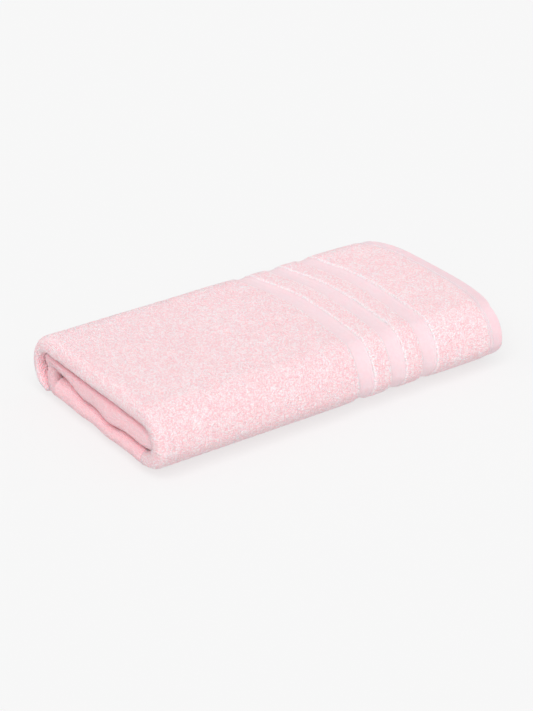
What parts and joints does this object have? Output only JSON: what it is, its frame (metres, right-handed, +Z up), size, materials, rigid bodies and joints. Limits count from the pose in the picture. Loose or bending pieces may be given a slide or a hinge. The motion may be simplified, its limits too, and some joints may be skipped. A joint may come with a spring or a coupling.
{
  "type": "bath towel set",
  "caption": "Thick pink terry bath towel folded into a flat pack, with woven bands and a sewn hem at one end and a top fold that opens.",
  "frame": {"origin": "centre of the folded pack's footprint, on the surface it lies on", "axes": "+X from the folded end to the hemmed end, +Y from the near fold to the draped side, +Z up"},
  "size_m": [0.35, 0.204, 0.0622],
  "materials": {
    "terry_pile": "looped cotton pile",
    "band_weave": "smooth woven band",
    "hem_cloth": "flat woven hem",
    "hem_thread": "cotton thread"
  },
  "bodies": {
    "folded_pack": {"base_band_1": "band_weave", "base_band_2": "band_weave", "base_band_3": "band_weave", "base_fourth_sheet": "terry_pile", "base_half_fold": "terry_pile", "base_hem": "hem_cloth", "base_hem_stitches": "hem_thread", "base_inner_fold": "terry_pile", "base_outer_fold": "terry_pile", "base_second_bands": "band_weave", "base_second_hem": "hem_cloth", "base_second_terry": "terry_pile", "base_side_hem": "hem_cloth", "base_terry_end": "terry_pile", "base_terry_field": "terry_pile", "base_terry_strip_1": "terry_pile", "base_terry_strip_2": "terry_pile", "base_third_sheet": "terry_pile", "turn_band_1": "band_weave", "turn_band_2": "band_weave", "turn_band_3": "band_weave", "turn_fourth_sheet": "terry_pile", "turn_half_fold": "terry_pile", "turn_hem": "hem_cloth", "turn_hem_stitches": "hem_thread", "turn_inner_fold": "terry_pile", "turn_outer_fold": "terry_pile", "turn_second_bands": "band_weave", "turn_second_hem": "hem_cloth", "turn_second_terry": "terry_pile", "turn_terry_end": "terry_pile", "turn_terry_field": "terry_pile", "turn_terry_strip_1": "terry_pile", "turn_terry_strip_2": "terry_pile", "turn_third_sheet": "terry_pile"},
    "top_flap": {"flap_band_1": "band_weave", "flap_band_2": "band_weave", "flap_band_3": "band_weave", "flap_fourth_sheet": "terry_pile", "flap_half_fold": "terry_pile", "flap_hem": "hem_cloth", "flap_hem_stitches": "hem_thread", "flap_inner_fold": "terry_pile", "flap_outer_fold": "terry_pile", "flap_second_bands": "band_weave", "flap_second_hem": "hem_cloth", "flap_second_terry": "terry_pile", "flap_side_hem": "hem_cloth", "flap_terry_end": "terry_pile", "flap_terry_field": "terry_pile", "flap_terry_strip_1": "terry_pile", "flap_terry_strip_2": "terry_pile", "flap_third_sheet": "terry_pile"}
  },
  "joints": [
    {"name": "flap_open", "type": "hinge", "parent": "folded_pack", "child": "top_flap", "pos_m": [0, -0.0709, 0.0311], "axis": [1, 0, 0], "range_deg": [0, 180], "deforming": ["turn_band_1", "turn_band_2", "turn_band_3", "turn_fourth_sheet", "turn_half_fold", "turn_hem", "turn_hem_stitches", "turn_inner_fold", "turn_outer_fold", "turn_second_bands", "turn_second_hem", "turn_second_terry", "turn_terry_end", "turn_terry_field", "turn_terry_strip_1", "turn_terry_strip_2", "turn_third_sheet"]}
  ]
}
